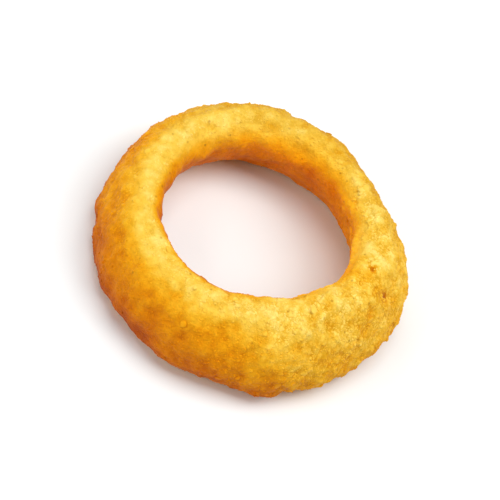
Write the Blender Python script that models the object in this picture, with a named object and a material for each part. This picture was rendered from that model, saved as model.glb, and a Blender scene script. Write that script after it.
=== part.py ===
"""One battered, breaded and fried onion ring, lying on its wider rim.

Run with: blender --background --python part.py

Lengths are in metres and angles in radians. +Z is up, the ring lies on z = 0, and the origin is
on the floor under the middle of the ring. A heading is an angle round +Z, measured from +X.
"""

import math

import bmesh
import bpy
from mathutils import Vector, noise

# The hoop: the line that runs round the middle of the ring's wall, seen from above.
HOOP_RADIUS = 0.0326
HOOP_EGG = 0.0005  # three faint lobes, so that the hoop isn't a true circle
HOOP_EGG_HEADING = math.radians(119)

# The wall: half of its thickness.
WALL_HALF = 0.0073
WALL_HEAVY_SIDE = 0.0010
WALL_HEAVY_HEADING = math.radians(300)
WALL_PINCH = 0.0010  # thickens two opposite stretches and thins the two between them
WALL_PINCH_HEADING = math.radians(122)

# The band: half of its slanting height, which varies because the onion was cut at a slant.
BAND_HALF = 0.0120
BAND_SLANT = 0.0012
BAND_SLANT_HEADING = math.radians(12)

LEAN = math.radians(24)  # the band leans inwards, as an onion's round layer does
SQUARENESS = 2.2  # 2 would make the wall's cut an ellipse
FOOT_DEPTH = 0.0008  # how much of the round underside is pressed flat

# The coating's lumps: two sizes of swelling that follow no pattern.
LUMP_SIZES = (0.0105, 0.0056)
LUMP_HEIGHTS = (0.0008, 0.0005)
LUMP_SEED = Vector((3.7, 1.9, 8.3))
LUMP_FADE = 0.0040  # the lumps die out over this height above the foot

# The outer side's knuckles: stretches where the coating stands out or is thin. Each is its
# heading, how far round it reaches to each side, and how far it stands out.
KNUCKLES = (
    (math.radians(13), math.radians(13), 0.0013),
    (math.radians(44), math.radians(11), -0.0012),
    (math.radians(220), math.radians(12), 0.0007),
    (math.radians(268), math.radians(16), 0.0006),
    (math.radians(299), math.radians(8), 0.0017),
    (math.radians(334), math.radians(16), -0.0008),
)

# The mesh: how many cuts round the hoop, and points round each cut.
HOOP_STEPS = 96
WALL_STEPS = 28

CRUST_COLOUR = (0.78, 0.40, 0.06, 1.0)
CRUST_ROUGHNESS = 0.55


def clear_scene():
    for thing in list(bpy.data.objects):
        bpy.data.objects.remove(thing)


def lobes(angle, count, amount, heading):
    """A swelling that comes round `count` times, with a peak at `heading`."""
    return amount * math.cos(count * (angle - heading))


def hoop_radius(angle):
    return HOOP_RADIUS + lobes(angle, 3, HOOP_EGG, HOOP_EGG_HEADING)


def wall_half(angle):
    heavy = lobes(angle, 1, WALL_HEAVY_SIDE, WALL_HEAVY_HEADING)
    pinch = lobes(angle, 2, WALL_PINCH, WALL_PINCH_HEADING)
    return WALL_HALF + heavy + pinch


def band_half(angle):
    return BAND_HALF + lobes(angle, 1, BAND_SLANT, BAND_SLANT_HEADING)


def leaned(across, up):
    """Turns a vector of the upright cut so that its top leans towards the ring's centre."""
    cos_lean, sin_lean = math.cos(LEAN), math.sin(LEAN)
    return (across * cos_lean - up * sin_lean, across * sin_lean + up * cos_lean)


def wall_cut(angle):
    """The wall's cut at one heading: pairs of (place, outward direction), each (across, up).

    It is a squarish oval, leaned inwards and set down so that FOOT_DEPTH of it is below z = 0.
    """
    half_across, half_up = wall_half(angle), band_half(angle)
    cut = []
    for step in range(WALL_STEPS):
        turn = 2 * math.pi * step / WALL_STEPS
        cos_turn, sin_turn = math.cos(turn), math.sin(turn)
        reach = (abs(cos_turn) ** SQUARENESS + abs(sin_turn) ** SQUARENESS) ** (-1 / SQUARENESS)
        place = leaned(half_across * cos_turn * reach, half_up * sin_turn * reach)
        outward = leaned(cos_turn / half_across, sin_turn / half_up)
        cut.append((place, outward))
    lowest = min(up for (_, up), _ in cut)
    drop = lowest + FOOT_DEPTH
    return [((across, up - drop), outward) for (across, up), outward in cut]


def lump_height(point):
    """How far the coating swells out at a point. It fades to nothing at the foot."""
    fade = min(max(point.z / LUMP_FADE, 0.0), 1.0)
    swell = sum(
        height * noise.noise(point / size + LUMP_SEED)
        for size, height in zip(LUMP_SIZES, LUMP_HEIGHTS)
    )
    return fade * swell


def knuckle_height(angle):
    """How far the outer side stands out at one heading."""
    height = 0.0
    for heading, reach, most in KNUCKLES:
        apart = math.remainder(angle - heading, 2 * math.pi)
        height += most * math.exp(-((apart / reach) ** 2))
    return height


def cut_points(angle):
    """One cut's points in space, lumps and knuckles included, and nothing below the floor."""
    away = Vector((math.cos(angle), math.sin(angle), 0))
    radius = hoop_radius(angle)
    knuckle = away * knuckle_height(angle)
    points = []
    for (across, up), (out_across, out_up) in wall_cut(angle):
        point = away * (radius + across)
        point.z = up
        outward = away * out_across
        outward.z = out_up
        outward.normalize()
        point += outward * lump_height(point)
        point += knuckle * max(outward.dot(away), 0.0)
        point.z = max(point.z, 0.0)
        points.append(point)
    return points


def centred(rings):
    """Moves every point sideways, so that the origin is under the middle of the ring."""
    everything = [point for ring in rings for point in ring]
    for axis in (0, 1):
        values = [point[axis] for point in everything]
        middle = (min(values) + max(values)) / 2
        for point in everything:
            point[axis] -= middle
    return rings


def ring_mesh():
    """Bridges each cut to the next, all the way round."""
    angles = [2 * math.pi * step / HOOP_STEPS for step in range(HOOP_STEPS)]
    rings = centred([cut_points(angle) for angle in angles])
    shape = bmesh.new()
    loops = [[shape.verts.new(point) for point in ring] for ring in rings]
    for here in range(HOOP_STEPS):
        loop, following = loops[here], loops[(here + 1) % HOOP_STEPS]
        for low in range(WALL_STEPS):
            high = (low + 1) % WALL_STEPS
            shape.faces.new((loop[low], following[low], following[high], loop[high]))
    mesh = bpy.data.meshes.new("onion_ring")
    shape.to_mesh(mesh)
    shape.free()
    mesh.shade_smooth()
    return mesh


def crust_material():
    """Golden fried crumb coating, slightly oily."""
    material = bpy.data.materials.new("fried_crust")
    material.use_nodes = True
    shader = material.node_tree.nodes["Principled BSDF"]
    shader.inputs["Base Color"].default_value = CRUST_COLOUR
    shader.inputs["Roughness"].default_value = CRUST_ROUGHNESS
    shader.inputs["Metallic"].default_value = 0.0
    material.diffuse_color = CRUST_COLOUR
    return material


def main():
    clear_scene()
    mesh = ring_mesh()
    mesh.materials.append(crust_material())
    ring = bpy.data.objects.new("onion_ring", mesh)
    bpy.context.scene.collection.objects.link(ring)


main()
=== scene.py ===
"""The looks of one fried onion ring: its crumbed crust, its loose crumbs and a pale stage.

Laid out as an add-on and run as a script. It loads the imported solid, and builds round it, with
one operator for each kind of piece. All lengths are in metres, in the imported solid's own frame.
"""

import math

import bmesh
import bpy
import numpy as np
from bpy.props import FloatProperty, FloatVectorProperty, IntProperty, PointerProperty
from mathutils import Matrix, Vector, noise
from mathutils.bvhtree import BVHTree


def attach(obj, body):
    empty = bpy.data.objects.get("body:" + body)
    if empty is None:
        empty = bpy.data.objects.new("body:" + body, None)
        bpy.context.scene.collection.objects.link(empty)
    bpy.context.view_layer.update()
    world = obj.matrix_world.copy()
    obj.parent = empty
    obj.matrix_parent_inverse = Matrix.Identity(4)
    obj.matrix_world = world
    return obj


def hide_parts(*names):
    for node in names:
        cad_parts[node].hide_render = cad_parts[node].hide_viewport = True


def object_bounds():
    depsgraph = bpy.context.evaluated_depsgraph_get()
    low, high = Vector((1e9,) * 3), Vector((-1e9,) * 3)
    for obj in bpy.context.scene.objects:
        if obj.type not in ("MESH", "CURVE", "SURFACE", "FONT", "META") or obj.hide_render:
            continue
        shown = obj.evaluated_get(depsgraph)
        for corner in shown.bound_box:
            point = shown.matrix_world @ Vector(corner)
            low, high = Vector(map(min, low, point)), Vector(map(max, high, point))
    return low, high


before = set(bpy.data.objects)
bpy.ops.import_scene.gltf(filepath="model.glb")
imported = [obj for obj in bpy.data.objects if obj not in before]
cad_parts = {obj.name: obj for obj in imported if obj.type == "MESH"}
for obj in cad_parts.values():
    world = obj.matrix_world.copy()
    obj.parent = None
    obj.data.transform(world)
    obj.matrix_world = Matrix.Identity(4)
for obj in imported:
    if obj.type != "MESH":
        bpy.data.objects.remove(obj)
cad_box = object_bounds()

bl_info = {
    "name": "Fried onion ring",
    "version": (1, 0, 0),
    "blender": (4, 5, 0),
    "location": "3D View > Sidebar > Onion ring",
    "description": "Builds the crust, the crumbs and the stage of one fried onion ring",
    "category": "Object",
}

NODE = "onion_ring"
BODY = "root"
CRUST = "ring_crust"
BAKE_MAP = "OFBake"

SLICE = math.radians(5)  # to each side of a heading, when the wall's middle there is found

# The crust's stuck crumbs, drawn as packed pebbles of two sizes.
SMALL_PEBBLE = 0.62  # width of a small pebble, as a share of a large one's
SMALL_PEBBLE_SHARE = 0.45  # height of a small pebble, as a share of a large one's
PEBBLE_MIDDLE = 0.45  # the height, from 0 to 1, that counts as level with the crust
LOWEST_PEBBLE = 0.35  # the lowest pebble's height, as a share of the tallest one's
PEBBLE_STEEPNESS = 2.2  # how fast a pebble's side rises
PIT_CHANCE = 0.4  # the share of the places for a pit that have one
BROWN_PIT_DEPTH = 1.4  # a browned pit's depth, as a share of a bubble's
FOOT_BLEND = (0.0002, 0.0030)  # the heights between which the relief grows from nothing

# The loose crumbs.
CRUMB_SPREAD = 0.30  # how much their widths differ
CRUMB_LIMITS = (0.5, 1.8)  # the least and the greatest width, as a share of the middling one
CRUMB_SWELLING = 0.55  # how far a crumb's form departs from a ball, softly
CRUMB_DENTS = 0.07  # and sharply
MAP_FILL = 0.62  # how much of its square on the map that is baked a crumb fills
MAP_EDGE = 0.06  # the square's border that stays empty

# Widths of the features in the materials' fine grain.
GRIT_SIZE = 0.00095
DUST_SIZE = 0.00036
GRAIN_SIZE = 0.00062
LOOSE_GRIT_SIZE = 0.0007
SPECK_SPACING = 0.0021
BUMP_HEIGHT = 0.0004

# Browned spots: the heading, the distance from the ring's axis, the height and the radius.
BROWN_PITS = (
    (math.radians(-1), 0.0282, 0.0244, 0.0021),
    (math.radians(-6), 0.0347, 0.0206, 0.0023),
)

# The crust's colour by how its surface faces: 0 degrees is straight outwards, 90 is up and 180 is
# straight inwards. It is paler facing up and darker facing down and low on the inner wall, which is
# painted light and shade on top of the frying's own colour. Each row is that angle, then how pale
# the crust is on the darker side (more fried, and painted shade), on the crumbed side, and on the
# far inner wall, where painted light makes it palest.
WALL_TONES = (
    (-65, 0.42, 0.50, 0.50),
    (-35, 0.10, 0.46, 0.46),
    (-20, 0.00, 0.48, 0.48),
    (0, 0.08, 0.57, 0.57),
    (15, 0.20, 0.63, 0.63),
    (38, 0.42, 0.73, 0.73),
    (52, 0.60, 0.80, 0.80),
    (67, 0.80, 0.84, 0.84),
    (85, 0.87, 0.88, 0.92),
    (105, 0.86, 0.87, 0.93),
    (127, 0.71, 0.76, 0.87),
    (142, 0.58, 0.65, 0.77),
    (157, 0.47, 0.55, 0.72),
    (172, 0.33, 0.39, 0.60),
    (184, 0.20, 0.23, 0.46),
    (196, 0.17, 0.18, 0.36),
    (209, 0.14, 0.15, 0.30),
    (228, 0.38, 0.40, 0.46),
)

# Patches that are paler or browner: a place and a radius as above, then how much paler.
TONE_PATCHES = (
    (math.radians(297), 0.0410, 0.0035, 0.0125, -0.20),
    (math.radians(265), 0.0395, 0.0080, 0.0130, 0.12),
    (math.radians(185), 0.0380, 0.0130, 0.0170, 0.17),
    (math.radians(80), 0.0290, 0.0220, 0.0150, -0.12),
    (math.radians(165), 0.0285, 0.0200, 0.0140, -0.12),
    (math.radians(352), 0.0262, 0.0235, 0.0090, -0.28),
    (math.radians(4), 0.0290, 0.0245, 0.0060, 0.14),
    (math.radians(208), 0.0395, 0.0120, 0.0110, 0.06),
    (math.radians(159), 0.0318, 0.0198, 0.0085, 0.16),
    (math.radians(284), 0.0310, 0.0240, 0.0080, 0.07),
)

# The stage's soft lights: name, heading and elevation in degrees, and watts.
LIGHTS = (
    ("overhead", 0, 90, 5.3),
    ("right", 14, 55, 7.1),
    ("left_back", 135, 25, 3.2),
    ("left_front", 225, 30, 4.7),
)
LIGHT_DISTANCE = 1.1
LIGHT_WIDTH = 0.7
WORLD_STRENGTH = 0.18


# ---------------------------------------------------------------------------------------------
# Shader trees as expressions
# ---------------------------------------------------------------------------------------------


class Flow:
    """A value that runs through a shader tree. Arithmetic on it adds Math nodes."""

    def __init__(self, recipe, socket):
        self.recipe = recipe
        self.socket = socket

    def __add__(self, other):
        return self.recipe.maths("ADD", self, other)

    __radd__ = __add__

    def __sub__(self, other):
        return self.recipe.maths("SUBTRACT", self, other)

    def __rsub__(self, other):
        return self.recipe.maths("SUBTRACT", other, self)

    def __mul__(self, other):
        return self.recipe.maths("MULTIPLY", self, other)

    __rmul__ = __mul__

    def step(self, low, high):
        """0 below `low`, 1 above `high`, and smooth between them."""
        settings = {"interpolation_type": "SMOOTHSTEP"}
        values = {"Value": self, "From Min": low, "From Max": high}
        return self.recipe.node("MapRange", settings, values)


class Recipe:
    """A material whose shader tree is written as expressions."""

    def __init__(self, name):
        self.material = bpy.data.materials.new(name)
        self.material.use_nodes = True
        self.tree = self.material.node_tree
        self.tree.nodes.clear()

    def node(self, kind, settings=None, values=None, output=0):
        """Adds a node: first its settings, then a number, a colour or a link for each socket."""
        made = self.tree.nodes.new("ShaderNode" + kind)
        for name, setting in (settings or {}).items():
            if name == "stops":
                self.fill_ramp(made.color_ramp, setting)
            else:
                setattr(made, name, setting)
        for name, value in (values or {}).items():
            if isinstance(value, Flow):
                self.tree.links.new(value.socket, made.inputs[name])
            else:
                made.inputs[name].default_value = value
        return Flow(self, made.outputs[output]) if made.outputs else None

    def fill_ramp(self, ramp, stops):
        """Sets a ramp's stops, each a place from 0 to 1 and a colour."""
        while len(ramp.elements) < len(stops):
            ramp.elements.new(1.0)
        for element, (place, colour) in zip(ramp.elements, stops):
            element.position = place
            element.color = (*colour, 1.0)

    def maths(self, operation, *values):
        """One Math node on values or numbers."""
        return self.node("Math", {"operation": operation}, dict(enumerate(values)))

    def scale(self, colour, share):
        """A colour made darker or lighter."""
        return self.node("VectorMath", {"operation": "SCALE"}, {0: colour, "Scale": share})

    def mix(self, share, under, over):
        """One colour over another."""
        settings = {"data_type": "RGBA"}
        return self.node("Mix", settings, {0: share, 6: under, 7: over}, output=2)

    def place(self):
        """Where a point is on the piece itself, in metres."""
        return self.node("TexCoord", output="Object")

    def attribute(self, name):
        """A number that the mesh holds for each of its points."""
        return self.node("Attribute", {"attribute_name": name}, output="Fac")

    def grain(self, size, detail=2.0, roughness=0.5, output="Fac"):
        """Cloudy noise with features of about `size`."""
        values = {"Vector": self.place(), "Scale": 1 / size}
        values |= {"Detail": detail, "Roughness": roughness}
        return self.node("TexNoise", {"noise_dimensions": "3D"}, values, output)

    def cells(self, size, output="Distance"):
        """Packed cells of about `size`: how far a point is from its cell's middle, or its colour."""
        values = {"Vector": self.place(), "Scale": 1 / size}
        return self.node("TexVoronoi", {"voronoi_dimensions": "3D"}, values, output)

    def finish(self, shader):
        """Joins the shader to the output, and gives the finished material."""
        self.node("OutputMaterial", values={"Surface": shader})
        return self.material


# ---------------------------------------------------------------------------------------------
# The crust's surface: a grid of points, whose first axis runs round the ring and whose second
# runs round the wall
# ---------------------------------------------------------------------------------------------


def smooth_step(values, low, high):
    """0 below `low`, 1 above `high`, and smooth between them."""
    share = np.clip((values - low) / (high - low), 0, 1)
    return share * share * (3 - 2 * share)


def band(values, low, full_low, full_high, high):
    """1 from `full_low` to `full_high`, and fading to 0 at `low` and `high`."""
    return smooth_step(values, low, full_low) * (1 - smooth_step(values, full_high, high))


def near(heading, middle, edge, full):
    """1 at headings close to `middle`, and 0 far from it.

    The bounds are cosines of the angle between: 0 beyond the one for `edge`, and 1 within `full`.
    """
    return smooth_step(np.cos(heading - middle), edge, full)


def sampled(function, points):
    """A function of one place, at each point of a grid. It may give several numbers."""
    flat = points.reshape(-1, points.shape[-1]).tolist()
    return np.array([function(place) for place in flat]).reshape(*points.shape[:-1], -1)


def swell(points, size, seed):
    """Soft noise between about -1 and 1, with features of about `size`."""
    return sampled(noise.noise, points / size + seed)[..., 0]


def pebbles(points, size, seed):
    """Packed crumbs of about `size`: how high each stands, and how pale it is, both 0 to 1.

    A cell's middle, multiplied by any odd number, gives that cell a random number of its own.
    """

    def crumb(place):
        distances, centres = noise.voronoi(place)
        tall = LOWEST_PEBBLE + (1 - LOWEST_PEBBLE) * noise.cell(centres[0] * 13.7)
        pale = noise.cell(centres[0] * 7.9)
        dome = min(1.0, PEBBLE_STEEPNESS * (distances[1] - distances[0]))
        return (dome * tall, pale)

    found = sampled(crumb, points / size + seed)
    return found[..., 0], found[..., 1]


def craters(points, size, seed, share):
    """Round pits, one in some of the cells of about `size`. 1 is a pit's floor."""

    def depth(place):
        distances, centres = noise.voronoi(place)
        if noise.cell(centres[0] * 9.1) > share:
            return 0.0
        reach = 0.10 + 0.12 * noise.cell(centres[0] * 5.3)
        return max(0.0, 1.0 - (distances[0] / reach) ** 2)

    return sampled(depth, points / size + seed)[..., 0]


def spots(points, places):
    """Round spots at places given like BROWN_PITS, 1 in each one's middle and 0 at its edge."""
    found = []
    for heading, reach, height, width in places:
        middle = (reach * math.cos(heading), reach * math.sin(heading), height)
        apart = np.linalg.norm(points - middle, axis=-1)
        found.append(1 - smooth_step(apart, 0.0, width))
    return np.array(found)


def blurred(grid, steps_round, steps_across):
    """Averages a grid with its neighbours, both ways round."""
    spectrum = np.fft.fft2(grid, axes=(0, 1))
    fades = []
    for length, steps in zip(grid.shape, (steps_round, steps_across)):
        fades.append(np.exp(-2 * (math.pi * np.fft.fftfreq(length) * steps) ** 2))
    fade = fades[0][:, None] * fades[1]
    if grid.ndim == 3:
        fade = fade[..., None]
    return np.fft.ifft2(spectrum * fade, axes=(0, 1)).real


def grid_normals(grid):
    """The outward direction at each point of the grid."""
    along = np.roll(grid, -1, 0) - np.roll(grid, 1, 0)
    across = np.roll(grid, -1, 1) - np.roll(grid, 1, 1)
    normals = np.cross(along, across)
    return normals / np.linalg.norm(normals, axis=2, keepdims=True)


def wall_middles(points, headings):
    """The middle of the solid's wall at each heading, as (distance from the axis, height)."""
    own_heading = np.arctan2(points[:, 1], points[:, 0])
    reach = np.hypot(points[:, 0], points[:, 1])
    middles = []
    for heading in headings:
        beside = np.cos(own_heading - heading) > math.cos(SLICE)
        middles.append((reach[beside].mean(), points[beside, 2].mean()))
    return np.array(middles)


def even_outline(outline, count):
    """`count` points evenly spaced along a closed outline."""
    closed = np.vstack([outline, outline[:1]])
    lengths = np.linalg.norm(np.diff(closed, axis=0), axis=1)
    travelled = np.concatenate([[0], np.cumsum(lengths)])
    wanted = np.linspace(0, travelled[-1], count, endpoint=False)
    return np.stack([np.interp(wanted, travelled, column) for column in closed.T], 1)


def solid_grid(solid, round_count, across_count):
    """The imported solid's skin as a grid, starting each cut at its foot and going outwards."""
    mesh = solid.data
    points = np.array([vertex.co for vertex in mesh.vertices])
    faces = [tuple(face.vertices) for face in mesh.polygons]
    skin = BVHTree.FromPolygons([Vector(point) for point in points], faces)
    headings = np.linspace(0, 2 * math.pi, round_count, endpoint=False)
    turns = np.linspace(0, 2 * math.pi, across_count, endpoint=False) - math.pi / 2
    grid = []
    for heading, (reach, height) in zip(headings, wall_middles(points, headings)):
        away = Vector((math.cos(heading), math.sin(heading), 0))
        middle = away * reach + Vector((0, 0, height))
        outline = []
        for turn in turns:
            direction = away * math.cos(turn) + Vector((0, 0, math.sin(turn)))
            outline.append(skin.ray_cast(middle, direction)[0])
        grid.append(even_outline(np.array(outline), across_count))
    return np.array(grid)


def grid_mesh(name, grid):
    """A closed mesh of one quad for each cell of the grid, with a map for baking."""
    round_count, across_count = grid.shape[:2]
    here = np.arange(round_count * across_count).reshape(round_count, across_count)
    ahead, beside = np.roll(here, -1, 0), np.roll(here, -1, 1)
    corners = np.stack([here, ahead, np.roll(ahead, -1, 1), beside], 2).reshape(-1, 4)
    mesh = quick_mesh(name, grid.reshape(-1, 3), corners)
    rows, columns = np.divmod(np.arange(len(corners)), across_count)
    right = np.stack([rows, rows + 1, rows + 1, rows], 1) / round_count
    upward = np.stack([columns, columns, columns + 1, columns + 1], 1) / across_count
    add_map(mesh, right, upward)
    return mesh


def quick_mesh(name, points, corners):
    """A mesh of faces that all have as many corners."""
    sides = corners.shape[1]
    mesh = bpy.data.meshes.new(name)
    mesh.vertices.add(len(points))
    mesh.vertices.foreach_set("co", points.astype(np.float32).ravel())
    mesh.loops.add(corners.size)
    mesh.loops.foreach_set("vertex_index", corners.astype(np.int32).ravel())
    mesh.polygons.add(len(corners))
    mesh.polygons.foreach_set("loop_start", np.arange(0, corners.size, sides, dtype=np.int32))
    mesh.update(calc_edges=True)
    mesh.validate()
    return mesh


def add_map(mesh, right, upward):
    """Stores where each corner of each face is on the map that is baked."""
    layer = mesh.uv_layers.new(name=BAKE_MAP)
    places = np.stack([right.ravel(), upward.ravel()], 1)
    layer.uv.foreach_set("vector", places.astype(np.float32).ravel())


def add_values(mesh, name, values):
    """Stores one number for each of the mesh's points."""
    attribute = mesh.attributes.new(name, "FLOAT", "POINT")
    attribute.data.foreach_set("value", values.astype(np.float32).ravel())


def read_values(mesh, name):
    """Reads back what add_values stored."""
    values = np.zeros(len(mesh.vertices), np.float32)
    mesh.attributes[name].data.foreach_get("value", values)
    return values


def add_piece(name, mesh, material):
    """Puts a finished piece in the scene, riding on the ring's body."""
    mesh.materials.append(material)
    piece = bpy.data.objects.new(name, mesh)
    bpy.context.scene.collection.objects.link(piece)
    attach(piece, BODY)
    return piece


# ---------------------------------------------------------------------------------------------
# Settings
# ---------------------------------------------------------------------------------------------


def length(name, description, default):
    """A setting in metres."""
    return FloatProperty(
        name=name, description=description, default=default, min=0.0, precision=5,
        subtype="DISTANCE", unit="LENGTH",
    )


def colour(name, description, default):
    """A setting that is a colour."""
    return FloatVectorProperty(
        name=name, description=description, default=default, min=0.0, max=1.0, size=3,
        subtype="COLOR",
    )


def angle(name, description, degrees):
    """A setting that is an angle, whose default is given in degrees."""
    return FloatProperty(
        name=name, description=description, default=math.radians(degrees),
        subtype="ANGLE", unit="ROTATION",
    )


def count(name, description, default):
    """A setting that is a whole number."""
    return IntProperty(name=name, description=description, default=default, min=1)


class CrustSettings(bpy.types.PropertyGroup):
    """Sizes of the crust's relief, and its colours: the frying's own, and painted light and shade.
    """

    round_count: count("Cuts round", "Points of the crust's grid round the ring", 580)
    across_count: count("Points across", "Points of the grid round the wall", 160)
    form_blur: length("Form blur", "How far the solid's facets are rounded off", 0.0011)
    lump_size: length("Lump size", "Width of the batter's soft lumps", 0.0046)
    lump_height: length("Lump height", "Height of the soft lumps", 0.00056)
    knob_size: length("Knob size", "Width of the smaller knobs", 0.0027)
    knob_height: length("Knob height", "Height of the smaller knobs", 0.00055)
    crumb_size: length("Crumb size", "Width of the stuck crumbs in the relief", 0.0016)
    crumb_height: length("Crumb height", "Height of the stuck crumbs", 0.00036)
    pit_spacing: length("Pit spacing", "Distance between two places for a pit", 0.0046)
    pit_depth: length("Pit depth", "Depth of the pits that bubbles leave", 0.00045)
    bare_heading: angle("Bare heading", "Heading of the stretch with few crumbs", 259)
    crumb_heading: angle("Crumb heading", "Heading where the crumbs are thickest", 345)
    # Painted shade and browner bare batter: the outer side is darkest at this heading.
    darker_side_heading: angle("Fried heading", "Heading where the outer side is most fried", 222)
    # Painted light makes the inner wall palest at this heading.
    lit_inside_heading: angle("Inside heading", "Heading of the inner wall's palest stretch", 10)
    # Painted shade darkens the inner edge most at this heading.
    edge_shade_heading: angle("Near heading", "Heading where the inner edge is most fried", 230)
    # Painted shade darkens the outer side most at this heading.
    shade_heading: angle("Dull heading", "Heading where the outer side is dullest", 92)
    # Painted light lightens the inner wall most at this heading.
    painted_light_heading: angle("Bright heading", "Heading where the inner wall is lightest", 55)
    # The darkest colours also serve as painted shade: at the foot, on the darker side and low on the
    # inner wall.
    brown: colour("Brown", "The most fried spots and the foot", (0.44, 0.075, 0.002))
    russet: colour("Russet", "Where the crust is fried darker", (0.60, 0.140, 0.001))
    deep: colour("Deep orange", "Where the crust is thin and well fried", (0.74, 0.245, 0.002))
    orange: colour("Orange", "The batter between the crumbs", (0.84, 0.345, 0.005))
    gold: colour("Gold", "Most of the crust", (0.87, 0.440, 0.018))
    pale: colour("Pale gold", "The crests and the rim", (0.89, 0.560, 0.064))
    cream: colour("Cream", "The palest crumbs", (0.93, 0.700, 0.180))
    speck: colour("Speck", "Small burnt specks", (0.34, 0.115, 0.010))


class CrumbSettings(bpy.types.PropertyGroup):
    """How many loose crumbs stick to the crust, and how large they are."""

    coarse_count: count("Coarse crumbs", "Number of coarse crumbs", 480)
    coarse_size: length("Coarse size", "Middling width of a coarse crumb", 0.0011)
    medium_count: count("Medium crumbs", "Number of medium crumbs", 9000)
    medium_size: length("Medium size", "Middling width of a medium crumb", 0.00074)
    fine_count: count("Fine crumbs", "Number of fine crumbs", 9500)
    fine_size: length("Fine size", "Middling width of a fine crumb", 0.00046)
    flake_count: count("Flakes", "Number of thin flakes", 120)
    flake_size: length("Flake size", "Middling width of a flake", 0.0014)


class StageSettings(bpy.types.PropertyGroup):
    """The floor, the lights and the camera."""

    floor: colour("Floor", "The floor's colour", (0.87, 0.90, 0.905))
    floor_width: length("Floor width", "Width of the square floor", 12.0)
    camera_height: angle("Camera elevation", "The camera's angle above the floor", 51.5)
    camera_roll: angle("Camera roll", "How far the picture leans clockwise", 28.5)
    camera_distance: length("Camera distance", "From the camera to the ring", 0.65)
    camera_width: length("Camera width", "Width of what the camera sees", 0.126)
    camera_aim: FloatVectorProperty(
        name="Camera aim",
        description="How far right and up of the ring's middle the camera points",
        default=(-0.0023, -0.0028), size=2, precision=5, subtype="NONE", unit="LENGTH",
    )


# ---------------------------------------------------------------------------------------------
# Materials
# ---------------------------------------------------------------------------------------------


def crust_stops(settings):
    """The crust's colours from the most fried to the palest."""
    return [
        (0.0, settings.brown),
        (0.12, settings.russet),
        (0.28, settings.deep),
        (0.42, settings.orange),
        (0.58, settings.gold),
        (0.78, settings.pale),
        (1.0, settings.cream),
    ]


def crust_shader(recipe, paleness, light, roughness, more):
    """Fried crumb: golden and rough, with a little oil.

    `paleness` chooses the colour, and `light` darkens or lightens it. `more` holds the shader's
    other inputs.
    """
    settings = bpy.context.scene.ring_crust
    stops = {"stops": crust_stops(settings)}
    golden = recipe.node("ValToRGB", stops, {"Fac": paleness})
    cell_colour = recipe.cells(SPECK_SPACING, "Color")
    chance = recipe.node("SeparateColor", values={"Color": cell_colour}, output="Red")
    middle = 1 - recipe.cells(SPECK_SPACING).step(0.06, 0.24)
    speck = middle * chance.step(0.82, 0.86)
    lit = recipe.scale(golden, light)
    coloured = recipe.mix(speck * 0.5, lit, (*settings.speck, 1.0))
    values = {
        "Base Color": coloured,
        "Roughness": roughness,
        "IOR": 1.45,
        "Specular IOR Level": 0.15,
        "Specular Tint": (1.0, 0.65, 0.25, 1.0),
    }
    return recipe.node("BsdfPrincipled", values=values | more)


def crust_material():
    """The stuck crust: pale and light on its crests, orange and darker in its hollows, which is
    painted light and shade, with fine grain over it.
    """
    recipe = Recipe("crumb_crust")
    grit = recipe.grain(GRIT_SIZE, detail=3.0, roughness=0.6)
    dust = recipe.grain(DUST_SIZE, detail=2.0, roughness=0.6)
    grains = 1 - recipe.cells(GRAIN_SIZE)
    cover = recipe.attribute("cover")
    # The relief makes crests paler and hollows more orange: painted light and shade.
    paleness = (
        recipe.attribute("paleness")
        + recipe.attribute("relief") * 0.15
        + recipe.attribute("tint") * 0.05
        + (grit - 0.5) * (0.16 - cover * 0.06)
        # Pits are more orange: partly browned batter, partly painted shade in the hollow.
        - recipe.attribute("pit") * 0.20
        - cover * 0.03
    )
    # Painted light on the relief's crests and painted shade in its hollows.
    light = (
        recipe.attribute("light")
        + recipe.attribute("relief") * (0.06 + cover * 0.06)
        + recipe.attribute("tint") * 0.10
        + (grit - 0.5) * (0.34 - cover * 0.20)
        + (grains - 0.6) * (0.10 - cover * 0.04)
        # Pits are darker: partly browned batter, partly painted shade in the hollow.
        - recipe.attribute("pit") * 0.08
    )
    roughness = 0.50 + cover * 0.14 + (grit - 0.5) * 0.2
    height = grit * 0.8 + dust * 0.6 + grains * 0.42
    bump = recipe.node(
        "Bump", values={"Strength": 0.8, "Distance": BUMP_HEIGHT, "Height": height}
    )
    more = {
        "Normal": bump,
        "Subsurface Weight": 0.08,
        "Subsurface Radius": (1.0, 0.55, 0.25),
        "Subsurface Scale": 0.0007,
    }
    return recipe.finish(crust_shader(recipe, paleness, light, roughness, more))


def crumb_material():
    """A loose crumb: each has a tint of its own, near the colour of the crust under it, with painted
    shade low on it and painted light on top.
    """
    recipe = Recipe("loose_crumb")
    grit = recipe.grain(LOOSE_GRIT_SIZE, detail=2.0)
    # `raised` paints shade and light: each crumb is more orange and darker low down, where it meets
    # the crust, and paler on top.
    paleness = (
        recipe.attribute("paleness")
        + recipe.attribute("tint") * 0.06
        + (recipe.attribute("raised") - 0.6) * 0.06
        + (grit - 0.5) * 0.06
    )
    light = (
        recipe.attribute("light")
        - 0.03
        + recipe.attribute("tint") * 0.08
        + recipe.attribute("raised") * 0.04
        + (grit - 0.5) * 0.08
    )
    roughness = 0.60 + (grit - 0.5) * 0.15
    return recipe.finish(crust_shader(recipe, paleness, light, roughness, {}))


def floor_material(settings):
    """A matt, pale floor with a hardly visible cloudiness."""
    recipe = Recipe("pale_floor")
    cloud = recipe.grain(0.35, detail=1.0)
    pale = (*settings.floor, 1.0)
    paler = (*(0.5 * (value + 1) for value in settings.floor), 1.0)
    shader = recipe.node(
        "BsdfPrincipled",
        values={
            "Base Color": recipe.mix(cloud * 0.2, pale, paler),
            "Roughness": 0.7,
            "Specular IOR Level": 0.1,
        },
    )
    return recipe.finish(shader)


# ---------------------------------------------------------------------------------------------
# Pieces
# ---------------------------------------------------------------------------------------------


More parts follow.
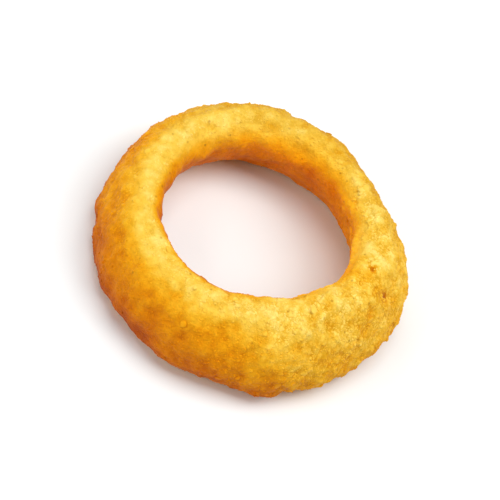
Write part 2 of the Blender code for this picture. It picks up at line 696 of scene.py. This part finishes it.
def ring_directions(grid, normals):
    """The heading of each point, and how far its surface faces away from the ring's middle."""
    heading = np.arctan2(grid[..., 1], grid[..., 0])
    away = np.stack([np.cos(heading), np.sin(heading)], 2)
    return heading, (normals[..., :2] * away).sum(2)


def crumb_cover(grid, normals, settings):
    """Where crumbs are thick, from 0 to 1: thin on the inner wall and on one bare stretch."""
    heading, facing_out = ring_directions(grid, normals)
    thick = near(heading, settings.crumb_heading, -0.2, 0.8)
    bare = near(heading, settings.bare_heading, 0.55, 0.95)
    bare *= smooth_step(facing_out, 0.05, 0.75)
    inner = smooth_step(-facing_out, 0.25, 0.85)
    patchy = 0.22 * swell(grid, 0.0075, (5.1, 0.7, 2.9))
    cover = 0.50 + 0.42 * thick - 0.42 * bare - 0.55 * inner + patchy
    return np.clip(cover, 0.04, 1.0) * (1 - spots(grid, BROWN_PITS).max(0))


def wall_tone(heading, wall_angle, settings):
    """The paleness that WALL_TONES gives, with painted shade that darkens the inner edge on the near
    side.
    """
    angles, darker_side, crumbed, lit_far_inside = np.array(WALL_TONES).T
    # The darker side is partly more fried and partly painted shade; the crumbed side is paler.
    crumbed_side = 1 - near(heading, settings.darker_side_heading, 0.0, 0.8)
    # Painted light: the far inner wall is made paler.
    painted_inside_light = near(heading, settings.lit_inside_heading, 0.55, 0.95)
    painted_inside_light *= smooth_step(wall_angle, 85, 105)
    pale = np.interp(wall_angle, angles, darker_side)
    pale += (np.interp(wall_angle, angles, crumbed) - pale) * crumbed_side
    pale += (np.interp(wall_angle, angles, lit_far_inside) - pale) * painted_inside_light
    # Painted shade: the inner edge is darker on the near side.
    painted_edge_shade = near(heading, settings.edge_shade_heading, 0.4, 0.9)
    return pale - 0.28 * painted_edge_shade * smooth_step(wall_angle, 100, 140)


def mottling(grid, heading, rim, settings):
    """Small uneven patches, stronger where the crumbs are thick and on the rim."""
    rough_side = near(heading, settings.crumb_heading, 0.3, 0.95)
    mottled = (0.05 + 0.09 * rough_side) * swell(grid, 0.0042, (4.7, 1.4, 9.3))
    mottled += (0.07 + 0.06 * rough_side + 0.08 * rim) * swell(grid, 0.0022, (2.5, 7.1, 3.8))
    return mottled


def tone_and_painted_light(grid, normals, settings):
    """How pale the crust is, from 0 to 1, and how light, with 1 as usual: frying's colour and
    painted light and shade.
    """
    heading, facing_out = ring_directions(grid, normals)
    wall_angle = np.degrees(np.arctan2(normals[..., 2], facing_out))
    wall_angle = np.where(wall_angle < -90, wall_angle + 360, wall_angle)
    rim = smooth_step(normals[..., 2], 0.25, 0.9)
    inner = smooth_step(-facing_out, 0.42, 0.95)

    pale = wall_tone(heading, wall_angle, settings)
    slow = 0.045 * swell(grid, 0.013, (1.3, 8.2, 4.4))
    mottled = mottling(grid, heading, rim, settings)
    pale += (slow + mottled) * (1 - 0.6 * inner) * (0.45 + 0.55 * smooth_step(pale, 0.05, 0.6))
    patches = spots(grid, [patch[:4] for patch in TONE_PATCHES])
    for patch, (*_, paler) in zip(patches, TONE_PATCHES):
        pale += paler * patch

    # Painted shade: the far outer side and the rim above it are made darker and more orange.
    painted_shade = near(heading, settings.shade_heading, 0.1, 0.9) * band(wall_angle, 0, 35, 45, 80)
    painted_rim_shade = near(heading, settings.shade_heading, 0.75, 0.98)
    painted_rim_shade *= band(wall_angle, 45, 75, 100, 130)
    pale -= 0.08 * painted_shade + 0.04 * painted_rim_shade

    # Painted light: the far inner wall, and a band of it that faces straight inwards, are made
    # lighter.
    painted_wall_light = inner * near(heading, settings.painted_light_heading, -0.6, 0.2)
    painted_glow = band(wall_angle, 140, 168, 182, 198)
    painted_glow *= near(heading, settings.painted_light_heading, 0.1, 0.6)
    crumbed_side = 1 - near(heading, settings.darker_side_heading, 0.0, 0.8)
    # Painted shade: the low outer side is a little darker on the crumbed side.
    painted_foot_shade = 1 - smooth_step(wall_angle, 0, 35)
    light = 1.045 - 0.02 * rim - 0.16 * painted_shade - 0.09 * painted_rim_shade
    light += 0.13 * painted_wall_light + 0.16 * painted_glow
    light += 0.35 * mottled - 0.03 * crumbed_side * painted_foot_shade
    return pale, light


def crust_grid(settings):
    """The crust's surface, with the numbers that its material and its crumbs read."""
    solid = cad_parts[NODE]
    grid = solid_grid(solid, settings.round_count, settings.across_count)
    step_round = np.linalg.norm(np.roll(grid, -1, 0) - grid, axis=2).mean()
    step_across = np.linalg.norm(np.roll(grid, -1, 1) - grid, axis=2).mean()
    grid = blurred(grid, settings.form_blur / step_round, settings.form_blur / step_across)
    base = grid
    normals = grid_normals(base)
    cover = crumb_cover(base, normals, settings)
    above_foot = smooth_step(base[..., 2], *FOOT_BLEND)

    lumps = swell(base, settings.lump_size, (2.2, 6.1, 0.4))
    knobs = swell(base, settings.knob_size, (7.3, 1.8, 3.6))
    soft = settings.lump_height * lumps
    soft += settings.knob_height * knobs * (0.45 + 0.55 * cover)
    grid = base + normals * (above_foot * soft)[..., None]

    normals = grid_normals(grid)
    crumbs, crumb_tints = pebbles(base, settings.crumb_size, (0.6, 4.9, 7.7))
    small, small_tints = pebbles(base, SMALL_PEBBLE * settings.crumb_size, (3.9, 2.4, 1.1))
    packed = (crumbs - PEBBLE_MIDDLE) + SMALL_PEBBLE_SHARE * (small - PEBBLE_MIDDLE)
    pits = craters(base, settings.pit_spacing, (6.6, 3.3, 5.5), PIT_CHANCE)
    pits *= 0.15 + 0.85 * cover
    brown_pits = spots(base, BROWN_PITS).max(0)
    rough = settings.crumb_height * packed * (0.40 + 0.60 * cover)
    rough -= settings.pit_depth * np.maximum(pits, BROWN_PIT_DEPTH * brown_pits)
    grid = grid + normals * (above_foot * rough)[..., None]
    grid[..., 2] = np.maximum(grid[..., 2], 0.0)

    # Streaks run up and down the wall where the batter ran off before it set.
    streaks = swell(base * (1, 1, 0.3), 0.0021, (8.8, 2.5, 6.2)) * (1 - cover)
    relief = (0.3 + 0.7 * cover) * (0.5 * lumps + 0.5 * knobs) + 1.1 * cover * packed
    relief = np.clip(relief, -1, 1)
    tint = (0.6 * crumb_tints + 0.4 * small_tints - 0.5) * (0.25 + 0.75 * cover)
    pale, light = tone_and_painted_light(base, grid_normals(base), settings)
    values = {
        "cover": cover * above_foot,
        "paleness": pale + 0.07 * streaks,
        "light": light,
        "relief": relief * above_foot,
        "tint": tint * above_foot,
        "pit": np.maximum(pits, 3.0 * brown_pits) * above_foot,
    }
    return grid, values


def build_crust():
    """The stuck crust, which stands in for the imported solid."""
    settings = bpy.context.scene.ring_crust
    grid, values = crust_grid(settings)
    mesh = grid_mesh(CRUST, grid)
    for name, numbers in values.items():
        add_values(mesh, name, numbers)
    mesh.shade_smooth()
    crust = add_piece(CRUST, mesh, crust_material())
    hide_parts(NODE)
    return crust


def crumb_shapes(random, variety, fineness, flatness):
    """Some uneven crumbs about 1 wide, each as points and triangles.

    They are round forms of 20 triangles, or of 80 where `fineness` is 2, swollen unevenly.
    """
    shapes = []
    for _ in range(variety):
        shape = bmesh.new()
        bmesh.ops.create_icosphere(shape, subdivisions=fineness, radius=0.5)
        points = np.array([vertex.co for vertex in shape.verts])
        swollen = 1 + CRUMB_SWELLING * swell(points, 0.45, random.uniform(0, 90, 3))
        points *= (swollen + random.normal(0, CRUMB_DENTS, len(points)))[:, None]
        points *= (random.uniform(0.9, 1.3), random.uniform(0.7, 1.0), flatness)
        # The faces that look outwards come last, so that they win where a bake overlaps.
        faces = sorted(shape.faces, key=lambda face: face.normal.z)
        triangles = np.array([[vertex.index for vertex in face.verts] for face in faces])
        shapes.append((points, triangles))
        shape.free()
    return shapes


def read_all(things, name, width, kind=np.float32):
    """One property of all a mesh's vertices or faces, as rows of `width` numbers."""
    numbers = np.zeros(len(things) * width, kind)
    things.foreach_get(name, numbers)
    return numbers.reshape(-1, width)


def scattered_places(mesh, random, wanted, thickness):
    """Random places on the crust, more of them where the crumbs are thick.

    Returns the points, the outward directions, and the first corner of the face that each is on.
    """
    faces = read_all(mesh.polygons, "vertices", 4, np.int32)
    areas = read_all(mesh.polygons, "area", 1)[:, 0]
    points = read_all(mesh.vertices, "co", 3)
    normals = read_all(mesh.vertices, "normal", 3)
    chance = areas * thickness[faces].mean(1)
    chosen = random.choice(len(faces), wanted, p=chance / chance.sum())
    share = random.uniform(0, 1, (wanted, 2))
    weights = np.stack(
        [
            (1 - share[:, 0]) * (1 - share[:, 1]),
            share[:, 0] * (1 - share[:, 1]),
            share[:, 0] * share[:, 1],
            (1 - share[:, 0]) * share[:, 1],
        ],
        1,
    )
    corners = faces[chosen]
    places = (points[corners] * weights[..., None]).sum(1)
    outward = (normals[corners] * weights[..., None]).sum(1)
    outward /= np.linalg.norm(outward, axis=1, keepdims=True)
    return places, outward, corners[:, 0]


def turned_frames(random, outward, tilt):
    """For each crumb, three axes: two along the crust and one near its outward direction."""
    upward = outward + random.normal(0, tilt, outward.shape)
    upward /= np.linalg.norm(upward, axis=1, keepdims=True)
    helper = random.normal(size=outward.shape)
    first = np.cross(helper, upward)
    first /= np.linalg.norm(first, axis=1, keepdims=True)
    second = np.cross(upward, first)
    return np.stack([first, second, upward], 1)


def build_crumbs(name, seed, wanted, size, shape, power, lift, tilt):
    """One kind of crumb as one joined mesh, each crumb partly sunk in the crust.

    `shape` is (variety, fineness, flatness). A higher `power` keeps the crumbs to where they are
    thick, and `lift` is how far a crumb's middle is above the surface, as a share of its width.
    """
    crust = bpy.data.objects.get(CRUST)
    if crust is None:
        raise RuntimeError("build the crust before its crumbs")
    random = np.random.default_rng(seed)
    cover = read_values(crust.data, "cover")
    # Each crumb takes the paleness and light of the crust under it, painted light and shade
    # included.
    looks = {key: read_values(crust.data, key) for key in ("paleness", "light")}
    places, outward, nearest = scattered_places(crust.data, random, wanted, cover**power)
    frames = turned_frames(random, outward, tilt)
    sizes = size * np.clip(random.lognormal(0, CRUMB_SPREAD, wanted), *CRUMB_LIMITS)
    tints = random.beta(2.0, 2.4, wanted) - 0.5
    shapes = crumb_shapes(random, *shape)
    kinds = random.integers(0, len(shapes), wanted)
    columns = math.ceil(math.sqrt(wanted))
    rows_and_columns = np.stack(np.divmod(np.arange(wanted), columns)[::-1], 1)
    top = shape[2] * 0.5 + lift
    all_points, all_faces, on_map = [], [], []
    values = {"paleness": [], "light": [], "tint": [], "raised": []}
    offset = 0
    for kind, (points, faces) in enumerate(shapes):
        chosen = np.flatnonzero(kinds == kind)
        raised = points + (0, 0, lift)
        sized = raised[None] * sizes[chosen, None, None]
        moved = places[chosen, None] + sized @ frames[chosen]
        starts = offset + np.arange(len(chosen)) * len(points)
        in_square = (points[:, :2] * MAP_FILL + 0.5).clip(MAP_EDGE, 1 - MAP_EDGE)
        cells = in_square + rows_and_columns[chosen, None]
        all_points.append(moved.reshape(-1, 3))
        all_faces.append((starts[:, None, None] + faces).reshape(-1, 3))
        on_map.append((cells / columns)[:, faces].reshape(-1, 3, 2))
        for key, numbers in looks.items():
            values[key].append(np.repeat(numbers[nearest[chosen]], len(points)))
        values["tint"].append(np.repeat(tints[chosen], len(points)))
        values["raised"].append(np.tile(np.clip(raised[:, 2] / top, 0, 1), len(chosen)))
        offset += moved.shape[0] * moved.shape[1]
    points = np.concatenate(all_points)
    points[:, 2] = np.maximum(points[:, 2], 0.0)
    mesh = quick_mesh(name, points, np.concatenate(all_faces))
    mesh.shade_smooth()
    on_map = np.concatenate(on_map)
    add_map(mesh, on_map[..., 0], on_map[..., 1])
    for key, numbers in values.items():
        add_values(mesh, key, np.concatenate(numbers))
    material = bpy.data.materials.get("loose_crumb") or crumb_material()
    return add_piece(name, mesh, material)


# ---------------------------------------------------------------------------------------------
# The stage
# ---------------------------------------------------------------------------------------------


def add_floor(settings):
    """A wide square floor under the ring."""
    half = settings.floor_width / 2
    mesh = bpy.data.meshes.new("floor")
    corners = [(-half, -half, 0), (half, -half, 0), (half, half, 0), (-half, half, 0)]
    mesh.from_pydata(corners, [], [(0, 1, 2, 3)])
    mesh.materials.append(floor_material(settings))
    floor = bpy.data.objects.new("floor", mesh)
    bpy.context.scene.collection.objects.link(floor)


def add_light(name, heading, elevation, watts):
    """A square soft light that looks at the ring."""
    lamp = bpy.data.lights.new(name, "AREA")
    lamp.shape = "SQUARE"
    lamp.size = LIGHT_WIDTH
    lamp.energy = watts
    holder = bpy.data.objects.new(name, lamp)
    level = Vector((math.cos(heading), math.sin(heading), 0))
    away = level * math.cos(elevation) + Vector((0, 0, math.sin(elevation)))
    holder.location = away * LIGHT_DISTANCE
    holder.rotation_euler = away.to_track_quat("Z", "Y").to_euler()
    bpy.context.scene.collection.objects.link(holder)


def add_world():
    """A dim white surrounding, which fills the shadows."""
    world = bpy.data.worlds.new("studio")
    world.use_nodes = True
    back = world.node_tree.nodes["Background"]
    back.inputs["Color"].default_value = (1.0, 1.0, 1.0, 1.0)
    back.inputs["Strength"].default_value = WORLD_STRENGTH
    bpy.context.scene.world = world


def add_camera(settings):
    """Looks down on the ring, with the picture leaning to one side."""
    low, high = cad_box
    middle = (low + high) / 2
    rise = settings.camera_height
    back = Vector((0, -math.cos(rise), math.sin(rise)))
    turn = (-back).to_track_quat("-Z", "Y").to_matrix()
    roll = Matrix.Rotation(settings.camera_roll, 3, "Z")
    camera = bpy.data.cameras.new("camera")
    camera.sensor_width = 36.0
    camera.lens = camera.sensor_width * settings.camera_distance / settings.camera_width
    camera.clip_start = 0.05
    camera.clip_end = 50.0
    holder = bpy.data.objects.new("camera", camera)
    spot = (turn @ roll).to_4x4()
    aside = turn @ roll @ Vector((*settings.camera_aim, 0))
    spot.translation = middle + aside + back * settings.camera_distance
    holder.matrix_world = spot
    bpy.context.scene.collection.objects.link(holder)
    bpy.context.scene.camera = holder


def build_stage():
    """The floor, the surroundings, the lights and the camera."""
    settings = bpy.context.scene.ring_stage
    add_floor(settings)
    add_world()
    for name, heading, elevation, watts in LIGHTS:
        add_light(name, math.radians(heading), math.radians(elevation), watts)
    add_camera(settings)
    bpy.context.scene.view_settings.view_transform = "Standard"


# ---------------------------------------------------------------------------------------------
# Operators and panel
# ---------------------------------------------------------------------------------------------


class AddCrust(bpy.types.Operator):
    """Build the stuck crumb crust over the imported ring"""

    bl_idname = "onion_ring.add_crust"
    bl_label = "Crust"

    def execute(self, context):
        build_crust()
        return {"FINISHED"}


class AddCoarseCrumbs(bpy.types.Operator):
    """Stick coarse crumbs to the crust"""

    bl_idname = "onion_ring.add_coarse_crumbs"
    bl_label = "Coarse crumbs"

    def execute(self, context):
        settings = context.scene.ring_crumbs
        build_crumbs(
            "coarse_crumbs", seed=11,
            wanted=settings.coarse_count, size=settings.coarse_size,
            shape=(24, 2, 0.60), power=2.2, lift=-0.18, tilt=0.2,
        )
        return {"FINISHED"}


class AddMediumCrumbs(bpy.types.Operator):
    """Stick medium crumbs to the crust"""

    bl_idname = "onion_ring.add_medium_crumbs"
    bl_label = "Medium crumbs"

    def execute(self, context):
        settings = context.scene.ring_crumbs
        build_crumbs(
            "medium_crumbs", seed=17,
            wanted=settings.medium_count, size=settings.medium_size,
            shape=(24, 1, 0.58), power=1.5, lift=-0.18, tilt=0.25,
        )
        return {"FINISHED"}


class AddFineCrumbs(bpy.types.Operator):
    """Stick fine crumbs to the crust"""

    bl_idname = "onion_ring.add_fine_crumbs"
    bl_label = "Fine crumbs"

    def execute(self, context):
        settings = context.scene.ring_crumbs
        build_crumbs(
            "fine_crumbs", seed=23,
            wanted=settings.fine_count, size=settings.fine_size,
            shape=(24, 1, 0.62), power=0.7, lift=-0.16, tilt=0.3,
        )
        return {"FINISHED"}


class AddFlakes(bpy.types.Operator):
    """Stick thin flakes to the crust"""

    bl_idname = "onion_ring.add_flakes"
    bl_label = "Flakes"

    def execute(self, context):
        settings = context.scene.ring_crumbs
        build_crumbs(
            "flakes", seed=43,
            wanted=settings.flake_count, size=settings.flake_size,
            shape=(18, 2, 0.26), power=2.0, lift=-0.05, tilt=0.09,
        )
        return {"FINISHED"}


class AddStage(bpy.types.Operator):
    """Set up the floor, the lights and the camera"""

    bl_idname = "onion_ring.add_stage"
    bl_label = "Stage"

    def execute(self, context):
        build_stage()
        return {"FINISHED"}


OPERATORS = (AddStage, AddCrust, AddCoarseCrumbs, AddMediumCrumbs, AddFineCrumbs, AddFlakes)
SETTINGS = {
    "ring_crust": CrustSettings,
    "ring_crumbs": CrumbSettings,
    "ring_stage": StageSettings,
}


class OnionRingPanel(bpy.types.Panel):
    """Lists the ring's pieces and their settings"""

    bl_idname = "VIEW3D_PT_onion_ring"
    bl_label = "Onion ring"
    bl_space_type = "VIEW_3D"
    bl_region_type = "UI"
    bl_category = "Onion ring"

    def draw(self, context):
        for operator in OPERATORS:
            self.layout.operator(operator.bl_idname)
        for name, group in SETTINGS.items():
            box = self.layout.box()
            for field in group.__annotations__:
                box.prop(getattr(context.scene, name), field)


def register():
    for group in SETTINGS.values():
        bpy.utils.register_class(group)
    for name, group in SETTINGS.items():
        setattr(bpy.types.Scene, name, PointerProperty(type=group))
    for operator in OPERATORS:
        bpy.utils.register_class(operator)
    bpy.utils.register_class(OnionRingPanel)


def unregister():
    bpy.utils.unregister_class(OnionRingPanel)
    for operator in reversed(OPERATORS):
        bpy.utils.unregister_class(operator)
    for name in SETTINGS:
        delattr(bpy.types.Scene, name)
    for group in SETTINGS.values():
        bpy.utils.unregister_class(group)


def main():
    register()
    bpy.ops.onion_ring.add_stage()
    bpy.ops.onion_ring.add_crust()
    bpy.ops.onion_ring.add_coarse_crumbs()
    bpy.ops.onion_ring.add_medium_crumbs()
    bpy.ops.onion_ring.add_fine_crumbs()
    bpy.ops.onion_ring.add_flakes()


if __name__ == "__main__":
    main()
